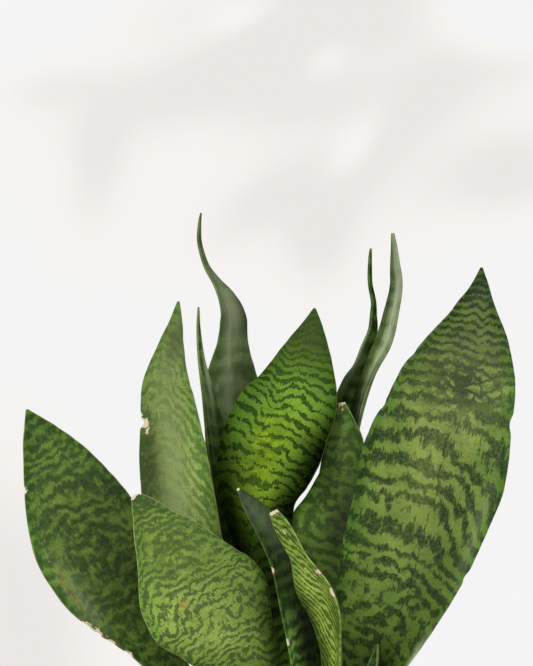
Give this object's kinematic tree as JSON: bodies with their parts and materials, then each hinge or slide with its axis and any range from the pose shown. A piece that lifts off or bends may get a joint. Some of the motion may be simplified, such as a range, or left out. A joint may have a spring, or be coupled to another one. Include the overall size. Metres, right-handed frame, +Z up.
{
  "type": "potted snake plant",
  "caption": "Snake plant with broad banded upright leaves in tufts, growing from an underground stem in soil in a plain tapered pot.",
  "frame": {"origin": "centre of the pot's flat underside", "axes": "+Z up; -Y toward the plant's front, the side that shows the broad leaves; +X to the right seen from the front"},
  "size_m": [0.2897, 0.1692, 0.4751],
  "materials": {
    "leaf": "satin, fleshy, green with darker cross bands",
    "pot": "matte, warm white",
    "soil": "rough, dark potting mix",
    "rhizome": "matte, tan"
  },
  "bodies": {
    "root": {"pot": "pot", "soil": "soil", "rhizome": "rhizome", "leaf_left_broad": "leaf", "leaf_front_left": "leaf", "leaf_back_left": "leaf", "leaf_rolled_young": "leaf", "leaf_tall_twisted": "leaf", "leaf_centre": "leaf", "leaf_mid_right": "leaf", "leaf_back_slender": "leaf", "leaf_back_narrow": "leaf", "leaf_right_broad": "leaf", "leaf_front_dark": "leaf", "leaf_front_bright": "leaf", "shoot_tip": "leaf"}
  },
  "joints": []
}
